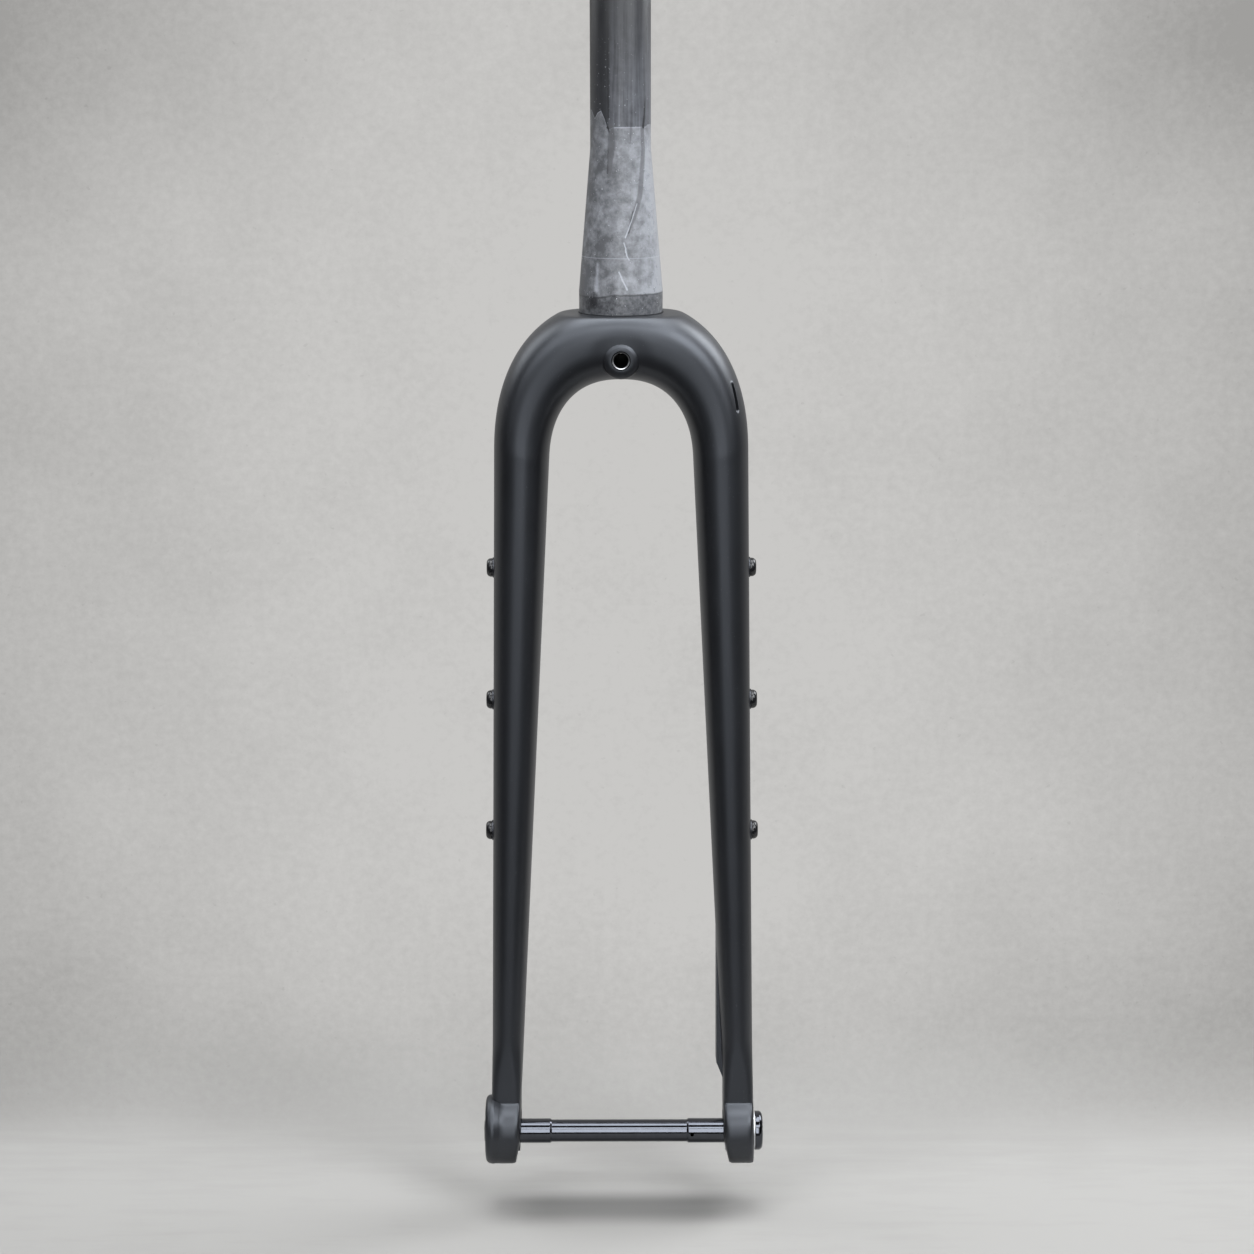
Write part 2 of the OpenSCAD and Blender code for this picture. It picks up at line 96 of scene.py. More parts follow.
class NodeBook:
    # Adds nodes to one tree: type, then settings, then values or wires of its sockets.
    def __init__(self, tree):
        self.tree = tree

    def add(self, kind, settings=None, sockets=None, out=0):
        node = self.tree.nodes.new(kind)
        for name, value in (settings or {}).items():
            if name == "stops":
                self.setStops(node.color_ramp, value)
            else:
                setattr(node, name, value)
        for name, value in (sockets or {}).items():
            if isinstance(value, Wire):
                self.tree.links.new(value.socket, node.inputs[name])
            else:
                node.inputs[name].default_value = value
        return Wire(self, node.outputs[out]) if node.outputs else node

    def setStops(self, ramp, stops):
        for place, _ in stops[1:-1]:  # the first stands at 0 and the last at 1
            ramp.elements.new(place)
        for element, (_, tone) in zip(ramp.elements, stops):
            element.color = (tone, tone, tone, 1)

    def maths(self, operation, a, b=0.0, clamp=False):
        return self.add("ShaderNodeMath", {"operation": operation, "use_clamp": clamp}, {0: a, 1: b})

    def clamp(self, a):
        return self.maths("ADD", a, 0, clamp=True)

    def low(self, a, b):
        return self.maths("MINIMUM", a, b)

    def high(self, a, b):
        return self.maths("MAXIMUM", a, b)

    def vector(self, operation, a, b):
        return self.add("ShaderNodeVectorMath", {"operation": operation}, {0: a, 1: b})

    def xyz(self, x, y, z):
        return self.add("ShaderNodeCombineXYZ", sockets={0: x, 1: y, 2: z})

    def split(self, vector):
        x = self.add("ShaderNodeSeparateXYZ", sockets={0: vector})
        return x, x["Y"], x["Z"]

    def inputs(self, values):  # named inputs of a geometry tree, as wires
        for name, value in values.items():
            kind = "NodeSocketInt" if isinstance(value, int) else "NodeSocketFloat"
            if isinstance(value, bpy.types.Material):
                kind = "NodeSocketMaterial"
            elif isinstance(value, bpy.types.Object):
                kind = "NodeSocketObject"
            self.tree.interface.new_socket(name=name, in_out="INPUT", socket_type=kind)
        self.tree.interface.new_socket(name="Geometry", in_out="OUTPUT", socket_type="NodeSocketGeometry")
        first = self.add("NodeGroupInput")
        return {name: first[name] for name in values}

    def finish(self, geometry, material):
        whole = self.add("GeometryNodeRealizeInstances", sockets={0: geometry})
        done = self.add("GeometryNodeSetMaterial", sockets={"Geometry": whole, "Material": material})
        self.add("NodeGroupOutput", sockets={0: done})


def ease(t):
    return t * t * (3 - 2 * t)


def growObject(name, tree, values):  # runs a geometry tree once and keeps the plain mesh
    maker = bpy.data.objects.new(name + "Maker", bpy.data.meshes.new(name + "Maker"))
    scene.collection.objects.link(maker)
    modifier = maker.modifiers.new("grow", "NODES")
    modifier.node_group = tree
    for item in tree.interface.items_tree:
        if item.in_out == "INPUT" and item.name in values:
            modifier[item.identifier] = values[item.name]
    bpy.context.view_layer.update()
    mesh = bpy.data.meshes.new_from_object(maker.evaluated_get(bpy.context.evaluated_depsgraph_get()))
    maker.modifiers.clear()
    bpy.data.objects.remove(maker)
    return addObject(name, mesh)


def addObject(name, mesh):
    mesh.name = name
    piece = bpy.data.objects.new(name, mesh)
    scene.collection.objects.link(piece)
    return piece


# ---- mesh helpers, in millimetres until settle()

def meshFrom(name, form):
    mesh = bpy.data.meshes.new(name)
    form.to_mesh(mesh)
    form.free()
    return addObject(name, mesh)


def rounded(points, steps=4):  # each point is (radius, height) or (radius, height, rounding)
    out = []
    for i, point in enumerate(points):
        here = Vector(point[:2])
        if len(point) < 3 or i in (0, len(points) - 1):
            out.append(here)
            continue
        back, ahead = Vector(points[i - 1][:2]) - here, Vector(points[i + 1][:2]) - here
        half = back.angle(ahead) / 2
        cut = min(point[2] / math.tan(half), back.length * 0.48, ahead.length * 0.48)
        a, b = here + back.normalized() * cut, here + ahead.normalized() * cut
        for k in range(steps + 1):
            t = k / steps
            out.append(a * (1 - t) ** 2 + here * 2 * t * (1 - t) + b * t * t)
    return out


def lathe(name, points, place=Matrix(), steps=96, closed=False):  # turned form round its own Z
    profile = [Vector(p[:2]) for p in rounded(points)]
    form = bmesh.new()
    rings = []
    for r, h in profile:
        count = 1 if r < 1e-6 else steps
        turns = [fullTurn * k / steps for k in range(count)]
        rings.append([form.verts.new((r * math.cos(t), r * math.sin(t), h)) for t in turns])
    for low, top in zip(rings, rings[1:] + ([rings[0]] if closed else [])):
        for k in range(steps):
            j = (k + 1) % steps
            corner = [low[k % len(low)], low[j % len(low)], top[j % len(top)], top[k % len(top)]]
            unique = list(dict.fromkeys(corner))
            if len(unique) > 2:
                form.faces.new(unique)
    bmesh.ops.recalc_face_normals(form, faces=form.faces)
    form.transform(place)
    return meshFrom(name, form)


def prism(name, outline, low, top, place=Matrix()):
    form = bmesh.new()
    base = form.faces.new([form.verts.new((x, y, low)) for x, y in outline])
    grown = bmesh.ops.extrude_face_region(form, geom=[base])
    raised = [v for v in grown["geom"] if isinstance(v, bmesh.types.BMVert)]
    bmesh.ops.translate(form, vec=(0, 0, top - low), verts=raised)
    bmesh.ops.recalc_face_normals(form, faces=form.faces)
    form.transform(place)
    return meshFrom(name, form)


def sweptTube(name, points, radius, steps=32):  # a round bar along a polyline, for cutting
    form = bmesh.new()
    path = [Vector(p) for p in points]
    rings, side = [], None
    for i, here in enumerate(path):
        along = (path[min(i + 1, len(path) - 1)] - path[max(i - 1, 0)]).normalized()
        side = (Vector((1, 0, 0)) if side is None else side)
        side = (side - along * side.dot(along)).normalized()
        up = along.cross(side)
        rings.append([form.verts.new(here + (side * math.cos(t) + up * math.sin(t)) * radius)
                      for t in (fullTurn * k / steps for k in range(steps))])
    for low, top in zip(rings, rings[1:]):
        for k in range(steps):
            j = (k + 1) % steps
            form.faces.new([low[k], low[j], top[j], top[k]])
    form.faces.new(rings[0])
    form.faces.new(rings[-1])
    bmesh.ops.recalc_face_normals(form, faces=form.faces)
    return meshFrom(name, form)


def carve(piece, jobs):  # jobs are (operation, object); the helpers are removed afterwards
    for operation, helper in jobs:
        cut = piece.modifiers.new("carve", "BOOLEAN")
        cut.operation, cut.object, cut.solver = operation, helper, "MANIFOLD"
    bpy.context.view_layer.update()
    mesh = bpy.data.meshes.new_from_object(piece.evaluated_get(bpy.context.evaluated_depsgraph_get()))
    piece.modifiers.clear()
    mesh.name = piece.data.name
    piece.data = mesh
    for _, helper in jobs:
        bpy.data.objects.remove(helper)
    return piece


def dropSpecks(form, least=12):  # removes the few loose slivers that a cut can leave
    seen, specks = set(), []
    for start in form.faces:
        if start in seen:
            continue
        seen.add(start)
        island, queue = [start], [start]
        while queue:
            for edge in queue.pop().edges:
                if len(edge.link_faces) == 2:
                    for face in edge.link_faces:
                        if face not in seen:
                            seen.add(face)
                            island.append(face)
                            queue.append(face)
        if len(island) < least:
            specks += island
    bmesh.ops.delete(form, geom=specks, context="FACES")


def settle(piece, material, nodes, sharp=32):  # to metres, shading, material and the frame's calls
    mesh = piece.data
    mesh.transform(Matrix.Scale(mm, 4))
    form = bmesh.new()
    form.from_mesh(mesh)
    bmesh.ops.remove_doubles(form, verts=form.verts, dist=2e-6)
    bmesh.ops.dissolve_degenerate(form, edges=form.edges, dist=1e-6)
    dropSpecks(form)
    form.to_mesh(mesh)
    form.free()
    mesh.polygons.foreach_set("use_smooth", [True] * len(mesh.polygons))
    mesh.set_sharp_from_angle(angle=math.radians(sharp))
    mesh.materials.clear()
    mesh.materials.append(material)
    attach(piece, "root")
    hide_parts(*nodes)
    return piece


def tint(r, g, b):  # colour as seen on screen, 0 to 255, to scene light
    return tuple(v / 255 / 12.92 if v <= 10 else ((v / 255 + 0.055) / 1.055) ** 2.4 for v in (r, g, b)) + (1,)


def hexagon(across):  # key outline from its width across flats
    corner = across / math.sqrt(3)
    return [(corner * math.cos(math.radians(60 * k)), corner * math.sin(math.radians(60 * k))) for k in range(6)]


# ---- sizes

shell = {
    "Crown half width": 60.7, "Crown side drop": 65.0, "Crown rise": 6.0, "Crown squareness": 2.3,
    "Crown depth": 54.0, "Arch half width": 34.5, "Arch drop": 31.2, "Arch side drop": 70.0,
    "Arch squareness": 2.4, "Axle drop": 395.0, "Rake": 47.0, "Leg rake": 40.0, "Crown forward": 2.0,
    "Rake curve": 1.15, "Hub half gap": 50.0, "Dropout half width": 63.8, "Leg depth top": 50.0,
    "Leg depth low": 27.0, "Leg low rise": 45.0, "Leg squareness": 2.7, "Dropout radius": 15.8,
    "Dropout squareness": 7.0, "Dropout blend": 5.0, "Drive lip": 0.5, "Disc lip": 1.0, "Dropout corner": 2.4,
    "Top edge": 1.6, "Lead in": 2.2, "Dip reach": 17.0, "Dip width": 9.0, "Dip depth": 0.5,
    "Points around": 120, "Rows in half crown": 84, "Rows in leg": 96, "Rows above dropout": 44,
    "Rows round dropout": 34,
}
axleY, axleZ = -shell["Rake"], -shell["Axle drop"]
socket = {"radius": 19.5, "mouth": 20.5, "depth": 12.0}
sleeve = {"z": -19.8, "front": -30.13, "back": 22.89, "bore": 3.55, "lip": 2.9, "outer": 4.55}
dropout = {"bore": 8.0, "flange": 9.8, "flangeDepth": 1.2, "spotFace": 10.2, "spotFaceX": 63.6,
           "hubRadius": 10.5}
insert = {"bore": 2.5, "outer": 3.8, "flange": 4.9, "flangeTop": 0.9, "depth": 11.5, "sunk": 0.3}
cage = {"pitch": 64.0, "drop": 121.6, "count": 3}
pad = {"x": 53.9, "z": -359.0, "out": 2.6, "pitch": 70.0, "half": 8.0, "low": -14.0, "high": 89.0, "step": 2.6}
hose = {"radius": 3.0, "slotHalf": 6.0, "slotHalfWidth": 1.15,
        "knots": ((55.87, -22.78, -40.6), (48.91, -0.58, -86), (49.48, -10.7, -193.29), (42.23, -3.89, -219))}
portEnds = (Vector((51.9, -23.0, -31.2)), Vector((54.8, -25.7, -44.0)))


def midY(z):  # middle of the leg's depth
    down = min(max(-z, 0), shell["Axle drop"]) / shell["Axle drop"]
    return -shell["Crown forward"] - (shell["Leg rake"] - shell["Crown forward"]) * down ** shell["Rake curve"]


def legBack(z):
    lowZ = axleZ + shell["Leg low rise"]
    taper = min(1, max(0, -shell["Crown side drop"] - z) / (-shell["Crown side drop"] - lowZ)) ** 0.9
    half = (shell["Leg depth top"] + (shell["Leg depth low"] - shell["Leg depth top"]) * taper) / 2
    t = ease(min(1, max(0, lowZ - z) / shell["Leg low rise"]))
    return (midY(z) + half) * (1 - t) + (shell["Dropout radius"] - shell["Rake"]) * t


sideSpan = shell["Axle drop"] - shell["Crown side drop"]
sideSlope = (shell["Dropout half width"] - shell["Crown half width"]) / sideSpan


def sideX(z):
    return shell["Crown half width"] + sideSlope * (-shell["Crown side drop"] - z)


def toFront(y, z, x=0):  # a turned form's axis along -Y
    return Matrix.Translation((x, y, z)) @ Matrix.Rotation(math.radians(90), 4, "X")


def toSide(side, x, y=axleY, z=axleZ):  # a turned form's axis outwards, 1 for the disc side, -1 for the drive side
    return Matrix.Translation((side * x, y, z)) @ Matrix.Rotation(math.radians(90 * side), 4, "Y")


# ---- finishes

unrolled = 16  # mm along the steerer's skin for each radian round it, for the drawn marks


class Finish(NodeBook):
    # A material with the helpers that every finish here uses, on object coordinates in millimetres.
    def __init__(self, name):
        self.material = bpy.data.materials.new(name)
        self.material.use_nodes = True
        super().__init__(self.material.node_tree)
        self.tree.nodes.clear()
        where = self.add("ShaderNodeTexCoord")["Object"]
        self.spot = self.add("ShaderNodeVectorMath", {"operation": "SCALE"}, {0: where, "Scale": 1000.0})
        self.x, self.y, self.z = self.split(self.spot)

    def noise(self, size, detail=3.0, roughness=0.5, at=None, stretch=(1, 1, 1)):  # size in mm
        at = at or self.spot
        if stretch != (1, 1, 1):
            at = self.vector("DIVIDE", at, stretch)
        return self.add("ShaderNodeTexNoise", {"noise_dimensions": "3D"},
                        {"Vector": at, "Scale": 1 / size, "Detail": detail, "Roughness": roughness})

    def between(self, value, low, high):  # 0 below low, 1 above high, eased
        return self.add("ShaderNodeMapRange", {"interpolation_type": "SMOOTHSTEP"},
                        {"Value": value, "From Min": low, "From Max": high, "To Min": 0.0, "To Max": 1.0})

    def distance(self, at, point):
        return self.add("ShaderNodeVectorMath", {"operation": "DISTANCE"}, {0: at, 1: point}, out=1)

    def blend(self, factor, a, b):
        return self.add("ShaderNodeMix", {"data_type": "RGBA"}, {0: factor, 6: a, 7: b}, out=2)

    def stroke(self, at, knots, soft=0.3):  # 1 on a drawn line; knots are (angle, height, half width)
        best = None
        for (a0, z0, w0), (a1, z1, w1) in zip(knots, knots[1:]):
            start = Vector((a0 * unrolled, z0, 0))
            along = Vector((a1 * unrolled, z1, 0)) - start
            offset = self.vector("SUBTRACT", at, start)
            part = self.add("ShaderNodeVectorMath", {"operation": "DOT_PRODUCT"}, {0: offset, 1: along}, out=1)
            t = self.clamp(part / along.length_squared)
            nearest = self.vector("SUBTRACT", offset, self.vector("MULTIPLY", t, along))
            away = self.add("ShaderNodeVectorMath", {"operation": "LENGTH"}, {0: nearest}, out=1)
            gap = away - (w0 + (w1 - w0) * t)
            best = gap if best is None else self.low(best, gap)
        return 1 - self.between(best, -soft, soft)

    def bump(self, height, strength, distance=1.0):
        return self.add("ShaderNodeBump", None, {"Height": height, "Strength": strength, "Distance": distance * mm})

    def done(self, colour, roughness, normal=None, metallic=0.0, **fixed):
        sockets = {"Base Color": colour, "Roughness": roughness, "Metallic": metallic}
        if normal is not None:
            sockets["Normal"] = normal
        sockets.update({name.replace("_", " "): value for name, value in fixed.items()})
        skin = self.add("ShaderNodeBsdfPrincipled", None, sockets)
        self.add("ShaderNodeOutputMaterial", None, {"Surface": skin})
        return self.material


def satinPaint():
    f = Finish("satinBlackPaint")
    cloud = f.noise(38, 4, 0.55)
    grain = f.noise(0.55, 2, 0.6)
    peel = f.noise(2.4, 2, 0.5)
    smear = f.noise(9, 4, 0.6, stretch=(1, 1, 3))
    dust = f.between(f.noise(0.9, 1, 0.5), 0.73, 0.78)
    colour = f.blend(cloud, tint(10, 10, 11), tint(15, 15, 17))
    colour = f.blend(grain * 0.12, colour, tint(34, 37, 44))
    colour = f.blend(dust * 0.3, colour, tint(90, 91, 93))
    for end, reach in ((portEnds[0], 1.6), (portEnds[1], 1.4)):  # painted highlights: pale spots at the two ends of the hose port, where its rim catches light
        away = f.distance(f.spot, end) + (peel - 0.5) * 1.5
        colour = f.blend(f.between(away, reach, reach * 0.6) * 0.7, colour, tint(150, 153, 158))
    rough = 0.42 + (cloud - 0.5) * 0.10 + (grain - 0.5) * 0.10 + (smear - 0.5) * 0.05 + dust * 0.08
    normal = f.bump(peel * 0.6 + grain * 0.4, 0.10, 0.05)
    return f.done(colour, rough, normal, IOR=1.72, Specular_Tint=tint(238, 244, 255))


def rawCarbon():
    f = Finish("rawCarbonTube")
    turn = f.maths("ARCTAN2", f.x, -f.y)
    up = f.z
    blot = f.noise(5, 6, 0.68)
    fibre = f.noise(1.1, 3, 0.6, stretch=(1, 1, 30))
    ragged = f.noise(3.0, 4, 0.65) - 0.5
    at = f.xyz(turn * unrolled + ragged * 1.1, up + ragged * 0.9, 0.0)

    # below the ply edge; the turn term is painted light, making the right side lighter and the left darker
    light = f.clamp(0.5 + (blot - 0.5) * 2.2 + (f.noise(24, 3, 0.5) - 0.5) * 1.4 + turn * 0.35)
    colour = f.blend(light, tint(84, 85, 88), tint(150, 152, 157))
    colour = f.blend(f.between(f.noise(2.2, 4, 0.65), 0.56, 0.72) * 0.5, colour, tint(84, 85, 89))

    # above the ply edge, dark on the left as painted shade; the turn term in the weave makes the right side lighter
    # as painted light
    plyEdge = [(0.0, 0.8), (0.12, 0.75), (0.19, 0.56), (0.235, 0.69), (0.284, 0.755), (0.33, 0.55), (0.366, 0.315),
               (0.425, 0.375), (0.797, 0.375), (0.84, 0.42), (1.0, 0.42)]
    edge = f.add("ShaderNodeValToRGB", {"stops": plyEdge}, {0: (turn + 1.6) / 3.2})
    over = up + ragged * 0.4 - (80 + 20 * edge)
    above = f.between(over, -0.15, 0.15)
    weaveAndSideShade = f.clamp(0.5 + (fibre - 0.5) * 2.4 + (blot - 0.5) * 1.4 + turn * 0.15)
    ply = f.blend(weaveAndSideShade, tint(66, 67, 71), tint(108, 110, 116))
    # painted shade: the left side of the ply turns dark
    ply = f.blend(f.between(turn * -1 + (fibre - 0.5) * 0.35, 0.28, 0.5) * 0.85, ply, tint(38, 39, 41))
    ply = f.blend(f.stroke(at, [(-0.41, 92, 0.5), (-0.42, 225, 0.9)], 0.5) * 0.8, ply, tint(30, 31, 33))
    ply = f.blend(f.stroke(at, [(0.97, 122, 0.5), (1.02, 225, 1.4)], 1.2) * 0.6, ply, tint(50, 51, 55))
    colour = f.blend(above, colour, ply)
    rim = f.between(abs(over + 0.3), 0.35, 0.1) * f.between(abs(turn + 0.15), 1.15, 1.05)
    colour = f.blend(rim * 0.45, colour, tint(176, 179, 188))

    # resin runs, pits and scratches
    runs = f.stroke(at, [(-0.31, 87.2, 1.6), (-0.29, 79, 1.8), (-0.37, 64.8, 0.9)], 0.5) * 0.8
    runs = f.high(runs, f.stroke(at, [(0.35, 86.8, 0.8), (0.32, 80.2, 0.2)], 0.4) * 0.55)
    runs = f.high(runs, f.stroke(at, [(0.79, 87, 1.3), (0.832, 76.7, 1.5), (0.593, 55.6, 1.4), (0.347, 45.1, 1.1),
                                      (0.144, 36.2, 0.2)], 0.45) * 0.62)
    colour = f.blend(runs, colour, tint(84, 84, 87))
    black = f.high(f.stroke(at, [(0.945, 101.6, 0.15), (0.842, 87.5, 0.9)], 0.25),
                   f.stroke(at, [(0.352, 48.4, 0.35), (0.208, 38.8, 0.45)], 0.35) * 0.75)
    black = f.high(black, f.stroke(at, [(-0.43, 87.3, 0.7), (-0.38, 85.2, 0.2)], 0.3))
    black = f.high(black, f.stroke(at, [(-0.42, 84, 0.15), (-0.42, 66, 0.4)], 0.3) * 0.6)
    black = f.high(black, f.stroke(at, [(1.03, 132.6, 0.5), (1.02, 131.9, 0.4)], 0.25))
    colour = f.blend(black * 0.9, colour, tint(30, 30, 32))
    pale = f.high(f.stroke(at, [(0.082, 34.1, 0.2), (0.154, 28.3, 0.35), (0.212, 26.2, 0.2)], 0.3),
                  f.stroke(at, [(0.48, 52, 0.15), (0.12, 36.5, 0.25)], 0.3))
    pale = f.high(pale, f.stroke(at, [(-0.04, 20.7, 0.2), (0.15, 12.3, 0.25)], 0.3))
    pale = f.high(pale, f.stroke(at, [(-0.62, 24, 0.3), (-0.62, 12, 1.0)], 0.9) * 0.55)
    pale = f.high(pale, f.between(abs(up - 26.8 + ragged * 0.3), 0.3, 0.05) * 0.4)
    colour = f.blend(pale * 0.75, colour, tint(186, 189, 197))

    # scuffed band of the race seat
    bandTop = 8.4 + f.between(turn, -0.6, -0.1) * 1.3 + ragged * 1.0
    band = f.between(up, bandTop + 0.3, bandTop - 0.3)
    fleck = f.noise(2.0, 4, 0.65)
    scuffed = f.blend(f.clamp(0.5 + (fleck - 0.5) * 3.5), tint(50, 51, 54), tint(106, 107, 110))
    colour = f.blend(band * 0.85, colour, scuffed)
    colour = f.blend(f.between(abs(up - bandTop), 0.7, 0.1) * 0.6, colour, tint(46, 46, 48))
    away = f.distance(at, (-11.8, 6.2, 0)) + ragged * 7
    colour = f.blend(f.between(away, 5.0, 1.5) * 0.85, colour, tint(38, 38, 40))
    colour = f.blend(f.between(f.noise(0.8, 1, 0.5), 0.745, 0.775) * 0.8, colour, tint(205, 207, 212))
    # painted shade in the seam where the steerer meets the crown
    colour = f.blend(f.between(up, 0.5, 0.1), colour, tint(26, 26, 28))
    # painted shade: the steerer grows darker towards its top
    colour = f.blend(f.between(up, 70, 150) * 0.86, colour, tint(22, 22, 24))
    relief = blot * 0.4 + fibre * 0.35 + above * 0.25 - black * 0.3 + fleck * band * 0.5
    return f.done(colour, 0.40 + (blot - 0.5) * 0.2 - band * 0.05, f.bump(relief, 0.35, 0.14), IOR=1.5)


def glossBlack(name, colour, rough, metallic=0.0):
    f = Finish(name)
    haze = f.noise(3.0, 3, 0.6)
    fine = f.noise(0.4, 2, 0.5)
    tone = f.blend(haze, colour, tuple(v * 1.35 for v in colour[:3]) + (1,))
    rough = rough + (haze - 0.5) * 0.08 + (fine - 0.5) * 0.04
    return f.done(tone, rough, f.bump(fine, 0.05, 0.02), metallic)


def sleeveFinish():  # black in the hole and round it as painted shade; bare on the front rim, its lower half brighter as a painted highlight
    f = Finish("crownSleeveMetal")
    grit = f.noise(1.2, 4, 0.6)
    height = f.z - sleeve["z"]
    out = (f.x * f.x + height * height) ** 0.5 + (grit - 0.5) * 0.05
    paintedShadeMask = f.high(f.between(out, 3.62, 3.57), f.between(out, 4.0, 4.1))
    front = f.between(f.y, sleeve["front"] + 0.9, sleeve["front"] + 0.3)
    # dark tone of the hole: painted shade
    dark = f.blend(grit, tint(6, 6, 7), tint(16, 15, 15))
    bare = f.blend(grit, tint(150, 151, 153), tint(214, 215, 218))
    # painted highlight on the rim's lower half; the upper half stays in painted shade
    shown = front * (1 - paintedShadeMask) * (0.25 + 0.75 * f.between(height, 0.5, -2.5))
    return f.done(f.blend(shown, dark, bare), 0.9 - shown * 0.55, f.bump(grit, 0.1, 0.04), shown,
                  Specular_IOR_Level=0.08)


def turnedMetal(name, colour, rough, pitch=0.35, axis="x"):
    f = Finish(name)
    along = {"x": f.x, "y": f.y, "z": f.z}[axis]
    rings = f.maths("SINE", along * (fullTurn / pitch) + f.noise(2, 2) * 2)
    smear = f.noise(1.6, 4, 0.6)
    tone = f.blend(smear, colour, tuple(v * 0.78 for v in colour[:3]) + (1,))
    normal = f.bump(rings * 0.5 + smear * 0.5, 0.12, 0.03)
    return f.done(tone, rough + (smear - 0.5) * 0.16, normal, metallic=1.0)


paint = satinPaint()
carbon = rawCarbon()
axleBlack = glossBlack("polishedBlackAxle", tint(72, 74, 79), 0.11, 1.0)
boltBlack = glossBlack("blackSteel", tint(24, 24, 26), 0.24)
bareMetal = turnedMetal("bareAluminium", tint(196, 198, 202), 0.30, axis="y")
sleeveMetal = sleeveFinish()
darkMetal = turnedMetal("darkAluminium", tint(74, 75, 79), 0.38)
washerMetal = turnedMetal("washerSteel", tint(244, 245, 247), 0.42, 0.5)
print("finishes ready")


# ---- moulded body: one sweep from dropout to dropout over the crown

def shellTree(values, material):
    tree = bpy.data.node_groups.new("Fork sweep", "GeometryNodeTree")
    b = NodeBook(tree)
    g = b.inputs({**values, "Material": material})
    around, crownRows, legRows = g["Points around"], g["Rows in half crown"], g["Rows in leg"]
    frontRows, roundRows = g["Rows above dropout"], g["Rows round dropout"]
    half = crownRows + legRows + frontRows + roundRows
    grid = b.add("GeometryNodeMeshGrid", None, {"Size X": 1.0, "Size Y": 1.0, "Vertices X": half * 2 + 1,
                                                "Vertices Y": around + 1})
    index = b.add("GeometryNodeInputIndex")
    row = b.maths("FLOOR", (index + 0.5) / (around + 1))
    column = index - row * (around + 1)
    signed = row - half
    side = b.maths("SIGN", signed)
    disc = signed > 0
    step = abs(signed)

    turn = (1 - b.clamp(step / crownRows)) * (math.pi / 2)
    s, c = b.maths("SINE", turn), b.high(b.maths("COSINE", turn), 0)
    leg = b.clamp((step - crownRows) / legRows)
    end = step - crownRows - legRows
    radius, axle = g["Dropout radius"], -g["Axle drop"]
    lead = radius + 3
    fall = (b.clamp(end / frontRows) * lead
            + b.maths("SINE", b.clamp((end - frontRows) / roundRows) * math.radians(87)) * radius)
    swell = axle + lead
    sideDrop, archDrop = g["Crown side drop"], g["Arch side drop"]
    outPower, inPower = 2 / g["Crown squareness"], 2 / g["Arch squareness"]
    outZ = -sideDrop + (sideDrop + g["Crown rise"]) * s ** outPower + (swell + sideDrop) * leg - fall
    inZ = -archDrop + (archDrop - g["Arch drop"]) * s ** inPower + (swell + archDrop) * leg - fall

    outSlope = (g["Dropout half width"] - g["Crown half width"]) / (g["Axle drop"] - sideDrop)
    inSlope = (g["Hub half gap"] - g["Drive lip"] - g["Arch half width"]) / (g["Axle drop"] - radius - archDrop)
    lip = g["Drive lip"] + disc * (g["Disc lip"] - g["Drive lip"])
    rise = b.low(b.high(outZ - (axle - radius), 0), g["Dropout corner"])
    across = g["Dropout corner"] - rise
    corner = g["Dropout corner"] - b.maths("SQRT", b.high(g["Dropout corner"] ** 2 - across ** 2, 0))
    outX = side * (g["Crown half width"] + outSlope * (-sideDrop - outZ) - corner) * c ** outPower
    inX = side * (b.low(g["Hub half gap"] - lip, g["Arch half width"] + inSlope * (-archDrop - inZ))
                  + (lip + g["Lead in"]) * b.high(axle - inZ, 0) / radius + corner) * c ** inPower

    z = (outZ + inZ) / 2
    bend = b.clamp(-z / g["Axle drop"])
    middle = -g["Crown forward"] - (g["Leg rake"] - g["Crown forward"]) * bend ** g["Rake curve"]
    lowZ = axle + g["Leg low rise"]
    taper = b.clamp((-sideDrop - z) / (-sideDrop - lowZ)) ** 0.9
    legHalf = ((g["Leg depth top"] + (g["Leg depth low"] - g["Leg depth top"]) * taper) / 2
               + (g["Crown depth"] - g["Leg depth top"]) / 2 * s * s)
    roundY = b.maths("SQRT", b.high(radius * radius - (z - axle) * (z - axle), 0))
    above, inRound = z > axle, z < axle + radius
    eased = ease(b.clamp((lowZ - z) / g["Leg low rise"]))
    legFront, roundFront = middle - legHalf, -g["Rake"] - roundY
    stepped = b.add("ShaderNodeMath", {"operation": "SMOOTH_MIN"},
                    {0: legFront, 1: roundFront, 2: g["Dropout blend"]})
    legFace = legFront + (stepped - legFront) * inRound
    front = legFace * above + roundFront * (1 - above)
    backLine = (middle + legHalf) + (radius - g["Rake"] - (middle + legHalf)) * eased
    back = backLine * above + (roundY - g["Rake"]) * (1 - above)
    middle, depth = (front + back) / 2, (back - front) / 2
    square = g["Leg squareness"] + (g["Dropout squareness"] - g["Leg squareness"]) * ease(
        b.clamp((lowZ - outZ) / (g["Leg low rise"] - radius)))

    angle = column / around * (2 * math.pi)
    ca, sa = b.maths("COSINE", angle), b.maths("SINE", angle)
    u = b.maths("SIGN", ca) * abs(ca) ** (2 / square) / 2 + 0.5
    v = b.maths("SIGN", sa) * abs(sa) ** (2 / square)
    x = inX + (outX - inX) * u
    y = middle + depth * v
    zAll = inZ + (outZ - inZ) * u

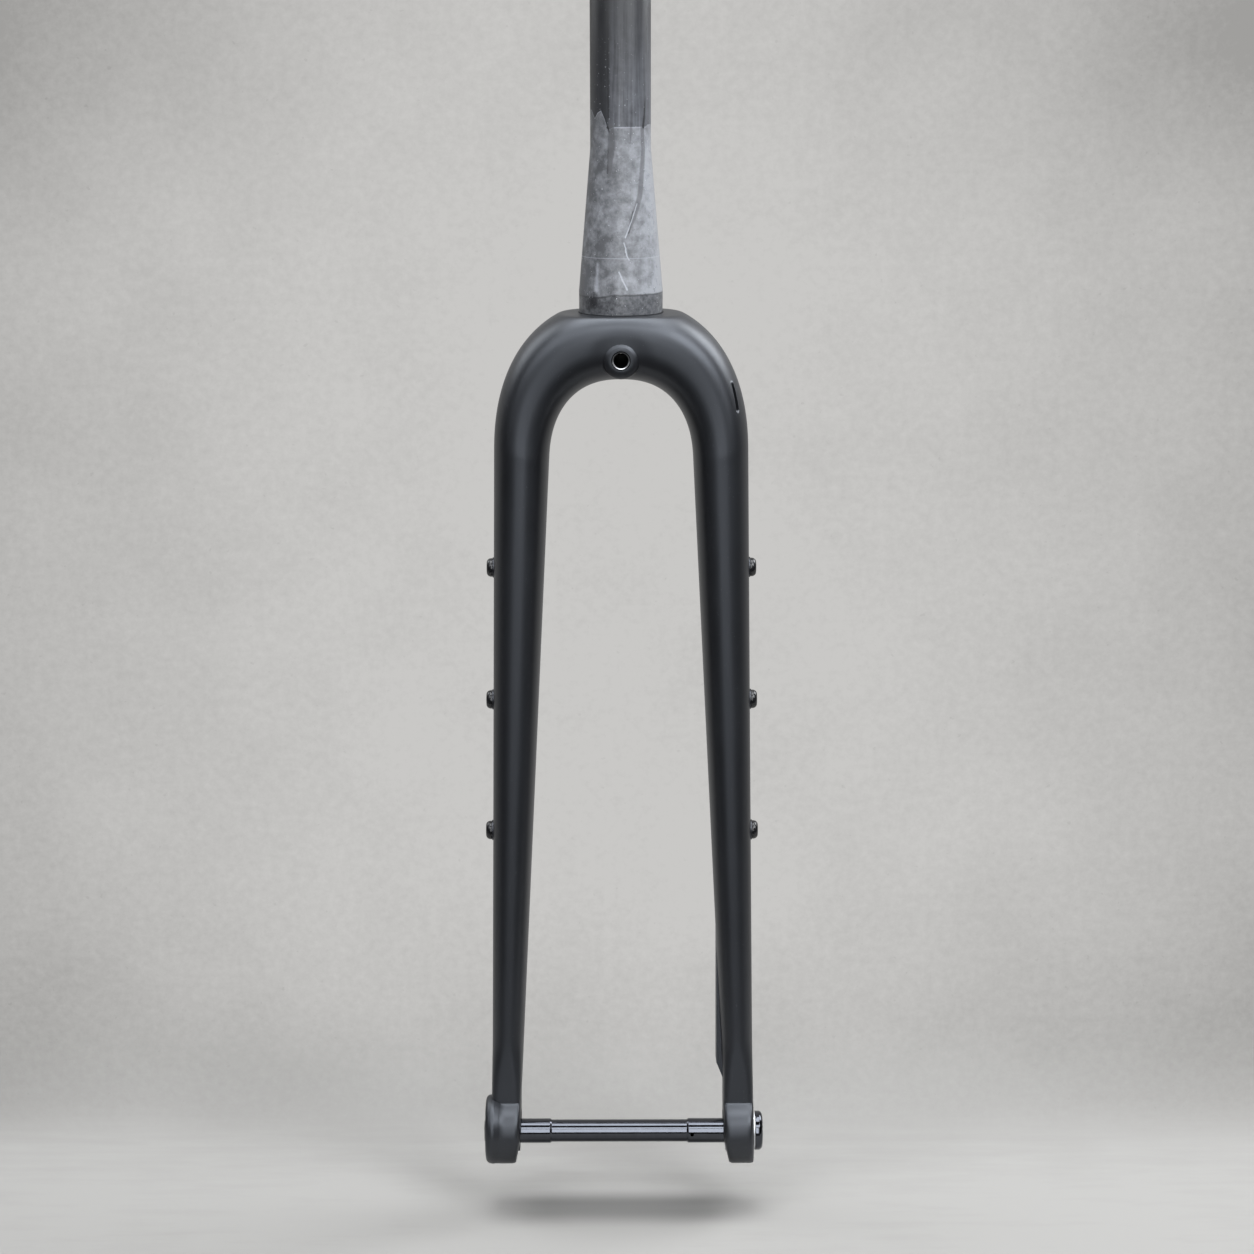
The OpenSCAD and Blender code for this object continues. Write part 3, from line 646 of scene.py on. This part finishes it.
    # the skin dips a little round the boss of the crown hole
    height = zAll - sleeve["z"]
    away = (x * x + height * height) ** 0.5
    y = y + ease(b.clamp((g["Dip reach"] - away) / g["Dip width"])) * (v < 0) * g["Dip depth"]
    flat = b.add("ShaderNodeMath", {"operation": "SMOOTH_MIN"}, {0: zAll, 1: -0.02, 2: g["Top edge"]})
    placed = b.add("GeometryNodeSetPosition", None, {"Geometry": grid, "Position": b.xyz(x, y, flat)})
    joined = b.add("GeometryNodeMergeByDistance", None, {"Geometry": placed, "Distance": 0.002})
    b.finish(joined, g["Material"])
    return tree


def makeShell():
    values = {**shell, "Material": paint}
    body = growObject("forkShell", shellTree(shell, paint), values)
    form = bmesh.new()
    form.from_mesh(body.data)
    bmesh.ops.holes_fill(form, edges=[e for e in form.edges if e.is_boundary], sides=0)
    bmesh.ops.recalc_face_normals(form, faces=form.faces)
    form.to_mesh(body.data)
    form.free()
    print("sweep", len(body.data.polygons), "faces")

    jobs = [("UNION", crownBoss()), ("UNION", driveBoss()), ("UNION", brakePad())]
    jobs += [("DIFFERENCE", cutter) for cutter in crownCutters() + legCutters()]
    carve(body, jobs)
    print("shell carved", len(body.data.polygons), "faces")
    return settle(body, paint, ["fork_body"], 34)


def crownCutters():
    def bore(name, radius, length, y):
        return lathe(name, [(0, 0), (radius, 0), (radius, length), (0, length)], toFront(y, sleeve["z"]))
    seat, mouth, deep = socket["radius"], socket["mouth"], -socket["depth"]
    return [lathe("socket", [(0, deep), (seat, deep), (seat, -0.9), (mouth, 0.1), (mouth, 30), (0, 30)]),
            bore("boreWide", sleeve["outer"], 80, sleeve["back"]),
            bore("boreNarrow", sleeve["bore"], 60, sleeve["back"] + 30),
            sweptTube("hose", hosePath(), hose["radius"]), portSlot()]


def legCutters():
    cutters = []
    r, deep, flange = insert["outer"], -insert["depth"], insert["flange"] + 0.02
    wide, thick = dropout["flange"], dropout["flangeDepth"]
    bushPocket = [(0, -1), (wide, -1), (wide, thick), (dropout["bore"], thick), (dropout["bore"], 60), (0, 60)]
    hub = dropout["hubRadius"]
    for side in (1, -1):
        for i in range(cage["count"]):
            cutters.append(lathe("pocket", [(0, deep), (r, deep), (r, 0), (flange, 0), (flange, 4), (0, 4)],
                                 cagePlace(side, i), 64))
        place = toSide(side, shell["Hub half gap"])
        cutters.append(lathe("bushPocket", bushPocket, place))
        cutters.append(lathe("hubRecess", [(0, -5), (hub, -5), (hub, 0, 0.3), (hub - 0.5, 0), (0, 0)], place))
        place = Matrix.Translation((side * 45, axleY, axleZ)) @ Matrix.Rotation(math.radians(90), 4, "Y")
        cutters.append(prism("hubSlot", [(30, -hub), (30, hub), (0, hub), (0, -hub)], -5, 5, place))
    r = dropout["spotFace"]
    cutters.append(lathe("spotFace", [(0, 0), (r, 0), (r + 0.2, 5), (0, 5)], toSide(1, dropout["spotFaceX"])))
    r = insert["outer"]
    cutters += [lathe("padPocket", [(0, -12), (r, -12), (r, 5), (0, 5)], padPlace(i), 64) for i in range(2)]
    return cutters


def crownBoss():
    points = [(0, 0), (6, 0), (9.2, 12), (9.1, 13.8, 2), (8.6, 15.0, 2), (7.7, 16.1, 2), (6.2, 16.8, 2),
              (5.2, 16.95, 0.8), (0, 17.0)]
    return lathe("crownBoss", points, toFront(sleeve["front"] + 17, sleeve["z"]), 128)


def driveBoss():  # round, with a bulged rim
    points = [(0, 0), (14.8, 0), (16.0, 2.3, 3), (16.8, 4.4, 2), (16.8, 5.8, 2), (16.3, 7.5, 2), (15.4, 8.3, 2),
              (13.9, 8.6, 1), (0, 8.6)]
    return lathe("driveBoss", points, toSide(-1, 58, axleY, axleZ + 1), 128)


padTilt = math.atan2(legBack(pad["z"] + 69.3) - legBack(pad["z"]), 69.3)


def padPlace(index=None):
    spot = (pad["x"], legBack(pad["z"]) + pad["out"], pad["z"])
    base = Matrix.Translation(spot) @ Matrix.Rotation(-padTilt, 4, "X")
    if index is None:
        return base
    return base @ Matrix.Translation((0, 0, pad["pitch"] * index)) @ Matrix.Rotation(math.radians(-90), 4, "X")


def brakePad():
    def outline(inset, low, high):
        half = pad["half"] - inset
        return [(-half, low + 7.44), (-half + 3.1, low), (half - 2, low), (half, low + 2), (half, high - 8),
                (half * 0.85, high - 3.6), (half * 0.45, high), (-half * 0.45, high), (-half * 0.85, high - 3.6),
                (-half, high - 8)]
    low, high, step = pad["low"], pad["high"], pad["step"]
    levels = ((0, 1.4, low + step, high - 10), (0.6, 1.4, low + step, high - 10), (step, 0, low, high),
              (18.6, 0, low, high))
    form = bmesh.new()
    rings = [[form.verts.new((x, y, z)) for x, y in outline(inset, *ends)] for z, inset, *ends in levels]
    for near, far in zip(rings, rings[1:]):
        for k in range(10):
            form.faces.new([near[k], near[(k + 1) % 10], far[(k + 1) % 10], far[k]])
    form.faces.new(rings[0])
    form.faces.new(rings[-1])
    bmesh.ops.recalc_face_normals(form, faces=form.faces)
    soft = [e for e in form.edges if any(v in rings[0] or v in rings[1] for v in e.verts)]
    bmesh.ops.bevel(form, geom=soft, offset=0.45, segments=3, profile=0.5, affect="EDGES", clamp_overlap=True)
    form.transform(padPlace() @ Matrix.Rotation(math.radians(90), 4, "X"))
    return meshFrom("brakePad", form)


cageLowZ = -cage["drop"] - cage["pitch"] * 2
cageTilt = math.atan2(midY(-cage["drop"]) - midY(cageLowZ), -cage["drop"] - cageLowZ)


def cagePlace(side, i):
    z = -cage["drop"] - i * cage["pitch"] * math.cos(cageTilt)
    y = midY(-cage["drop"]) - i * cage["pitch"] * math.sin(cageTilt)
    return toSide(side, sideX(z) - insert["sunk"], y, z)


def hosePath():
    knots = [Vector(p) for p in hose["knots"]]
    first = knots[0] + (knots[1] - knots[0]).normalized() * 9
    last = knots[3] + (knots[3] - knots[2]).normalized() * 14
    path = [first, knots[0] + (knots[1] - knots[0]) * 0.6]
    for k in (1, 2):
        a = knots[k] + (knots[k - 1] - knots[k]).normalized() * 9
        b = knots[k] + (knots[k + 1] - knots[k]).normalized() * 9
        for t in (0.0, 0.2, 0.4, 0.6, 0.8, 1.0):
            path.append(a * (1 - t) ** 2 + knots[k] * 2 * t * (1 - t) + b * t * t)
    return path + [last]


def portSlot():  # slim mouth of the hose channel
    half, width = hose["slotHalf"], hose["slotHalfWidth"]
    outline = [(side * half + width * math.sin(a) * side, -side * width * math.cos(a))
               for side in (1, -1) for a in (math.pi * k / 8 for k in range(9))]
    normal = Vector((0.8, -0.5, 0.27)).normalized()
    along = portEnds[1] - portEnds[0]
    along = (along - normal * along.dot(normal)).normalized()
    turned = Matrix((along, normal.cross(along), normal)).transposed().to_4x4()
    return prism("portSlot", outline, -9, 3, Matrix.Translation((portEnds[0] + portEnds[1]) / 2) @ turned)


forkShell = makeShell()


# ---- steerer

steerer = {"foot": 19.5, "seat": 19.9, "seatTop": 10.7, "top": 14.3, "taperTop": 77, "height": 220, "bore": 11,
           "wideBore": 15.7}


def makeSteerer():
    foot, seat, seatTop, top = steerer["foot"], steerer["seat"], steerer["seatTop"], steerer["top"]
    height, bore, taperTop = steerer["height"], steerer["bore"], steerer["taperTop"]
    points = [(0, -12), (foot, -12), (foot, 0), (seat, 0, 0.1), (seat, seatTop), (seat - 0.1, seatTop + 0.5),
              (top, taperTop, 30.0), (top, height - 0.7), (top - 0.4, height), (bore + 0.2, height),
              (bore, height - 0.2), (bore, taperTop), (steerer["wideBore"], 11), (steerer["wideBore"], -5),
              (10.7, -10), (0, -10)]
    tube = lathe("steererTube", points, steps=160)
    return settle(tube, carbon, ["steerer_tube"])


steererTube = makeSteerer()
print("steerer ready")


# ---- bolts and inserts on the legs, repeated by one tree

def cageTree(values, template, material):
    tree = bpy.data.node_groups.new("Cage row", "GeometryNodeTree")
    b = NodeBook(tree)
    g = b.inputs({**values, "Template": template, "Material": material})
    line = b.add("GeometryNodeMeshLine", {"mode": "OFFSET"}, {"Count": g["Count"] * 2})
    index = b.add("GeometryNodeInputIndex")
    mirrored = (index + 0.5) > g["Count"]
    side = 1 - 2 * mirrored
    i = index - mirrored * g["Count"]
    z = -g["Drop"] - i * g["Pitch"] * b.maths("COSINE", g["Tilt"])
    y = g["Top Y"] - i * g["Pitch"] * b.maths("SINE", g["Tilt"])
    x = side * (g["Side X"] + g["Side slope"] * (-g["Side drop"] - z) - g["Sunk"])
    points = b.add("GeometryNodeSetPosition", None, {"Geometry": line, "Position": b.xyz(x, y, z)})
    shape = b.add("GeometryNodeObjectInfo", {"transform_space": "ORIGINAL"}, {"Object": g["Template"]})["Geometry"]
    turned = b.xyz(0.0, side * (math.pi / 2), 0.0)
    placed = b.add("GeometryNodeInstanceOnPoints", None, {"Points": points, "Instance": shape, "Rotation": turned})
    twist = b.add("FunctionNodeRandomValue", {"data_type": "FLOAT"}, {2: 0.0, 3: 6.28, "Seed": 7}, out=1)
    spun = b.add("GeometryNodeRotateInstances", None, {"Instances": placed, "Rotation": b.xyz(0.0, 0.0, twist)})
    b.finish(spun, g["Material"])
    return tree


def cageRow(name, template, material, nodes):
    values = {"Count": cage["count"], "Pitch": cage["pitch"], "Drop": cage["drop"], "Tilt": cageTilt,
              "Top Y": midY(-cage["drop"]), "Side X": shell["Crown half width"], "Side slope": sideSlope,
              "Side drop": shell["Crown side drop"], "Sunk": insert["sunk"]}
    tree = cageTree(values, template, material)
    row = growObject(name, tree, {**values, "Template": template, "Material": material})
    bpy.data.objects.remove(template)
    return settle(row, material, nodes)


bolt = {"shank": 2.45, "tip": -9.1, "head": 4.5, "under": 0.9, "ring": 1.6, "top": 3.8, "key": 3.0}


def boltTemplate():
    shank, head, under, ringTop = bolt["shank"], bolt["head"], bolt["under"], bolt["ring"]
    points = [(0, bolt["tip"]), (shank - 0.6, bolt["tip"]), (shank, bolt["tip"] + 0.6), (shank, under),
              (head, under, 0.12), (head, ringTop, 0.25)]
    for k in range(1, 9):
        a = math.pi / 2 * k / 9
        points.append((2.52 + 1.98 * math.cos(a), ringTop + 2.2 * math.sin(a)))
    points += [(2.5, bolt["top"], 0.1), (0, bolt["top"])]
    form = lathe("boltTemplate", points, steps=64)
    lead = lathe("keyLead", [(0, 3.5), (1.55, 3.5), (2.0, 3.95), (0, 3.95)], steps=48)
    return carve(form, [("DIFFERENCE", prism("key", hexagon(bolt["key"]), 2.0, 6)), ("DIFFERENCE", lead)])


def insertTemplate():
    bore, outer, flange, top = insert["bore"], insert["outer"], insert["flange"], insert["flangeTop"]
    deep = -insert["depth"]
    points = [(bore, -10), (bore, top - 0.15), (bore + 0.15, top), (flange, top, 0.15), (flange, 0.01), (outer, 0),
              (outer, deep), (0, deep), (0, -10)]
    return lathe("insertTemplate", points, steps=64, closed=True)


sides, heights = ("disc", "drive"), ("upper", "middle", "lower")
cageBolts = cageRow("cageBolts", boltTemplate(), boltBlack,
                    [f"cage_bolt_{s}_{h}" for s in sides for h in heights])
cageInserts = cageRow("cageInserts", insertTemplate(), darkMetal,
                      [f"cage_insert_{s}_{h}" for s in sides for h in heights])
print("cage bolts and inserts ready")


# ---- crown sleeve, axle, washer, bush, inserts

axle = {"radius": 5.95, "waist": 5.4, "tip": -67.3, "waistLow": -34.5, "waistHigh": 31.3, "head": 9.5, "under": 64.5,
        "top": 68.1, "key": 6.0, "hollow": 3.2, "crossX": 33.9, "crossRadius": 0.9}
washer = {"inner": 6.0, "outer": 9.4, "thick": 0.9}


def makeAxle():
    r, waist, tip, head, top = axle["radius"], axle["waist"], axle["tip"], axle["head"], axle["top"]
    low, high, under = axle["waistLow"], axle["waistHigh"], axle["under"]
    points = [(0, tip), (r - 0.8, tip, 0.2), (r, tip + 0.8, 0.3), (r, low - 0.8, 0.4), (waist, low, 0.4),
              (waist, high, 0.4), (r, high + 0.8, 0.4), (r, under), (head, under, 0.25), (head, top - 1.5, 0.5),
              (head - 0.5, top - 0.6, 0.5), (head - 1.4, top, 0.4), (0, top)]
    place, hollow, cross = toSide(1, 0), axle["hollow"], axle["crossRadius"]
    cutters = [prism("key", hexagon(axle["key"]), 61.6, 72, place),
               lathe("keyLead", [(0, 67.6), (3.2, 67.6), (3.95, 68.4), (0, 68.4)], place, 96),
               lathe("hollow", [(0, -80), (hollow, -80), (hollow, 58.5), (0, 60)], place, 64),
               lathe("cross", [(0, 0), (cross, 0), (cross, 12), (0, 12)], toFront(axleY, axleZ, axle["crossX"]), 32)]
    bar = carve(lathe("throughAxle", points, place, 128), [("DIFFERENCE", cutter) for cutter in cutters])
    return settle(bar, axleBlack, ["thru_axle"])


def makeWasher(edge=0.2):
    inner, outer, top = washer["inner"], washer["outer"], washer["thick"]
    points = [(inner, top / 2), (inner, 0, edge), (outer, 0, edge), (outer, top, edge), (inner, top, edge)]
    ring = lathe("axleWasher", points, toSide(1, dropout["spotFaceX"]), 96, closed=True)
    return settle(ring, washerMetal, ["axle_washer"])


def flangedBush(name, side, end, material, node):
    wide, thick, outer, bore = dropout["flange"], dropout["flangeDepth"], dropout["bore"], 6.0
    points = [(bore, 3), (bore, 0, 0.3), (wide, 0, 0.2), (wide, thick, 0.1), (outer, thick + 0.01), (outer, end, 0.3),
              (bore, end, 0.3)]
    return settle(lathe(name, points, toSide(side, shell["Hub half gap"]), 96, closed=True), material, [node])


def makeSleeve():
    bore, lip, outer, length = sleeve["bore"], sleeve["lip"], sleeve["outer"], sleeve["back"] - sleeve["front"]
    points = [(bore, 20), (bore, 1.2), (lip, 1.0), (lip, 0), (outer, 0), (outer, length, 0.15),
              (outer - 0.4, length, 0.1), (bore, length - 0.6, 0.1)]
    tube = lathe("crownSleeve", points, toFront(sleeve["back"], sleeve["z"]), 96, closed=True)
    return settle(tube, sleeveMetal, ["crown_hole_sleeve"])


def padInsert(name, i):
    outer = insert["outer"]
    points = [(0, -10.5), (2.1, -10.5), (2.1, -0.4), (2.5, 0), (outer, 0, 0.1), (outer, -12), (0, -12)]
    return settle(lathe(name, points, padPlace(i), 64), darkMetal,
                  ["brake_insert_" + ("upper" if i else "lower")])


throughAxle = makeAxle()
axleWasher = makeWasher()
discBush = flangedBush("discBush", 1, 13.6, bareMetal, "disc_side_axle_bush")
driveInsert = flangedBush("driveInsert", -1, 16.2, darkMetal, "drive_side_axle_insert")
crownSleeve = makeSleeve()
padInsertLower, padInsertUpper = padInsert("padInsertLower", 0), padInsert("padInsertUpper", 1)
print("turned pieces ready")


# ---- floor, backdrop, lights and camera

room = {"floorZ": -0.434, "wallY": 1.5, "bend": 0.35, "width": 7.0, "front": -0.25, "height": 3.2,
        "patternAhead": 1428.0, "patternZ": 154.0, "skyTone": (205, 206, 208), "skyStrength": 0.05}


def paleConcrete():  # lit floor near the fork, flat pale backdrop behind it
    f = Finish("paleConcrete")
    depth = f.y + room["patternAhead"]
    u, v = f.x / depth, (f.z - room["patternZ"]) / depth  # slopes from a point ahead, so the pattern keeps one scale
    at = f.xyz(u * 1000, v * 1000, 0.0)
    cloud = f.noise(60, 5, 0.6, at)
    fine = f.noise(3.2, 4, 0.7, at)
    pits = f.between(f.noise(2.6, 2, 0.5, at), 0.70, 0.76) * 0.5
    streaks = f.noise(3.0, 4, 0.6, at, (14, 1, 1))
    # painted shade in the tone: darker towards the sides, the top, just above the floor line and on the far floor;
    # the mottling, pits and streaks are the concrete's own
    near = f.between(v, -0.385, -0.405)
    edge = (u / 0.21) ** 2
    wall = edge * 0.5 + f.between(v, -0.10, 0.0) * (edge * 0.5 + 0.1) + f.between(v, -0.30, -0.39) * 0.34
    wall = wall + (fine - 0.5) * 0.6 + pits * 0.35
    ground = f.between(v, -0.425, -0.39) * 0.3 + (streaks - 0.5) * 0.7
    dark = wall * (1 - near) + ground * near + (cloud - 0.5) * 0.55
    tone = f.blend(f.clamp(dark), tint(201, 200, 198), tint(160, 159, 157))
    paintedFloorShadow = f.between(abs(f.y + 50), 26, 4) * f.between(abs(f.x), 82, 34)  # painted shadow of the fork, darker right under the axle
    stone = f.blend(0.6, tone, tint(128, 124, 119))
    stone = f.blend(paintedFloorShadow * 0.55, stone, tint(50, 50, 50))
    lit = f.add("ShaderNodeBsdfPrincipled", None, {"Base Color": stone, "Roughness": 0.9})
    flat = f.add("ShaderNodeEmission", None, {"Color": tone, "Strength": 1.0})
    light = f.add("ShaderNodeLightPath")
    seen = f.clamp(light["Is Camera Ray"] + light["Is Glossy Ray"] + light["Is Transmission Ray"])
    shown = f.add("ShaderNodeMixShader", None, {0: seen * f.between(f.y, 60, 250), 1: lit, 2: flat})
    f.add("ShaderNodeOutputMaterial", None, {"Surface": shown})
    return f.material


def makeRoom():
    form = bmesh.new()
    line = [(room["front"], room["floorZ"])]
    middleY, middleZ = room["wallY"] - room["bend"], room["floorZ"] + room["bend"]
    for k in range(25):
        a = math.pi / 2 * k / 24
        line.append((middleY + room["bend"] * math.sin(a), middleZ - room["bend"] * math.cos(a)))
    line.append((room["wallY"], room["height"]))
    rows = [[form.verts.new((x, y, z)) for x in (-room["width"] / 2, room["width"] / 2)] for y, z in line]
    for low, top in zip(rows, rows[1:]):
        form.faces.new([low[0], low[1], top[1], top[0]])
    sweep = meshFrom("studioSweep", form)
    sweep.data.polygons.foreach_set("use_smooth", [True] * len(sweep.data.polygons))
    sweep.data.materials.append(paleConcrete())
    return sweep


lampColour = (0.945, 0.972, 1)
lamps = {  # place and aim in metres, width, height, watts
    "overhead": ((0, -0.08, 0.74), (0, -0.05, 0), 0.8, 0.65, 10),
    "rearRight": ((0.72, 0.36, 0.55), (0, 0, -0.02), 0.6, 0.6, 8),
    "rearLeft": ((-0.72, 0.36, 0.55), (0, 0, -0.02), 0.6, 0.6, 3.2),
    "frontHigh": ((0, -1.7, 1.25), (0, 0, -0.1), 1.0, 0.55, 11),
    "frontRight": ((0.60, -0.70, 0.62), (0, 0, -0.05), 0.6, 0.6, 9),
    "frontLeft": ((-0.58, -0.68, 0.60), (0, 0, -0.05), 0.6, 0.6, 3.2),
    "strip": ((0, -2.2, 0.35), (0, 0, -0.2), 0.4, 1.3, 10),
}


def softLight(name, place, aim, width, height, power):
    lamp = bpy.data.lights.new(name, "AREA")
    lamp.shape, lamp.size, lamp.size_y, lamp.energy = "RECTANGLE", width, height, power
    lamp.color = lampColour
    light = bpy.data.objects.new(name, lamp)
    turn = (Vector(aim) - Vector(place)).to_track_quat("-Z", "Y")
    light.matrix_world = Matrix.Translation(place) @ turn.to_matrix().to_4x4()
    light.visible_camera = False
    scene.collection.objects.link(light)


studio = makeRoom()
for lampName, lampSetting in lamps.items():
    softLight(lampName, *lampSetting)

world = bpy.data.worlds.new("paleRoom")
world.use_nodes = True
world.node_tree.nodes["Background"].inputs["Color"].default_value = tint(*room["skyTone"])
world.node_tree.nodes["Background"].inputs["Strength"].default_value = room["skyStrength"]
scene.world = world
scene.view_settings.view_transform = "Standard"

eye = {"distance": 1.428, "height": 0.1542, "down": 12.162, "lens": 3000 / 1254 * 36, "shift": 5.45 / 1254,
       "roll": 0.118}
camera = bpy.data.objects.new("camera", bpy.data.cameras.new("camera"))
camera.data.lens, camera.data.sensor_width, camera.data.shift_x = eye["lens"], 36, eye["shift"]
camera.data.clip_start = 0.05
camera.matrix_world = (Matrix.Translation((0, -eye["distance"], eye["height"]))
                       @ Matrix.Rotation(math.radians(90 - eye["down"]), 4, "X")
                       @ Matrix.Rotation(math.radians(-eye["roll"]), 4, "Z"))
scene.collection.objects.link(camera)
scene.camera = camera

print("scene ready")
